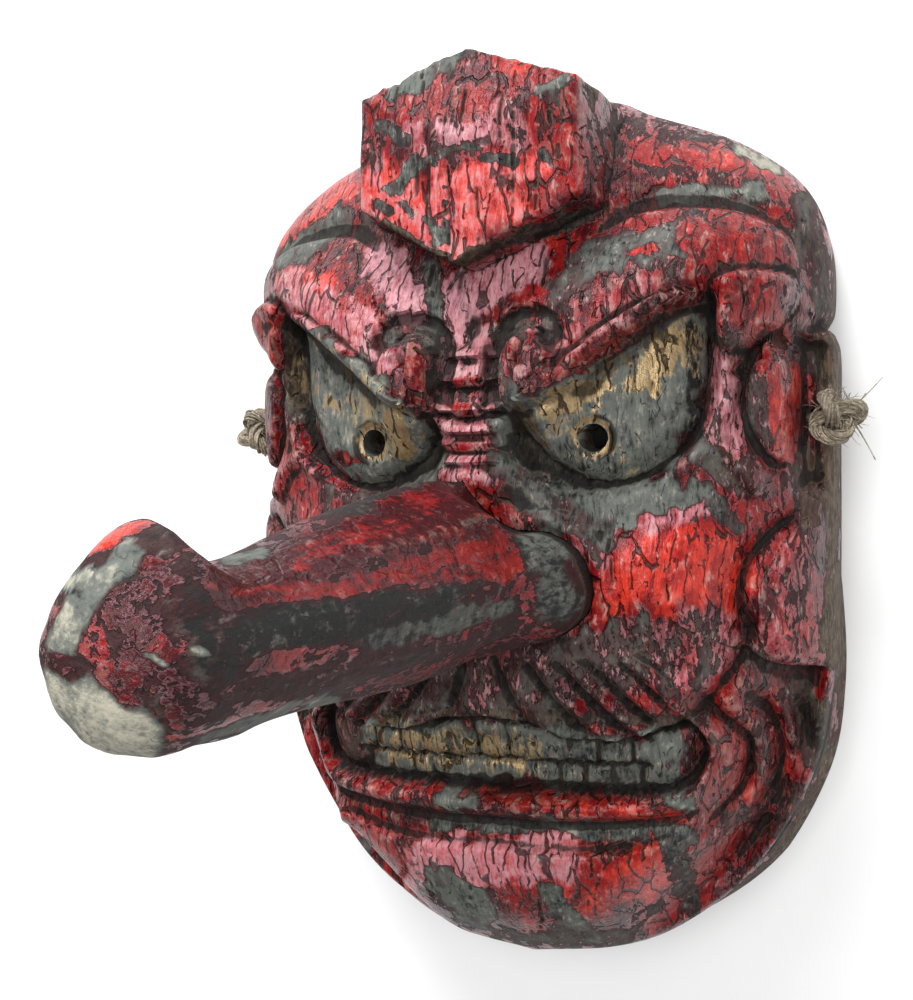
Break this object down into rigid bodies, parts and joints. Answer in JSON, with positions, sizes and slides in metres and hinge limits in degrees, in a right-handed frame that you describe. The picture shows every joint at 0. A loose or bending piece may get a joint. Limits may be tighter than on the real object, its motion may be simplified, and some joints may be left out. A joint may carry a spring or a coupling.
{
  "type": "tengu mask",
  "caption": "Carved and lacquered wooden tengu mask with a long nose, a faceted cap, bared teeth and a hemp cord knotted through the ears, lying face up on its rim.",
  "frame": {"origin": "middle of the mask's box, on the surface that its rim rests on", "axes": "+X across the face, +Y from the chin to the cap on the brow, +Z out of the face, along the nose"},
  "size_m": [0.2198, 0.3021, 0.292],
  "materials": {
    "red_lacquer": "worn and flaking red lacquer over a grey-green ground on carved wood",
    "hemp_cord": "frayed hemp"
  },
  "bodies": {
    "root": {"mask": "red_lacquer", "nose": "red_lacquer", "cord": "hemp_cord", "knot_right": "hemp_cord", "knot_left": "hemp_cord"}
  },
  "joints": []
}
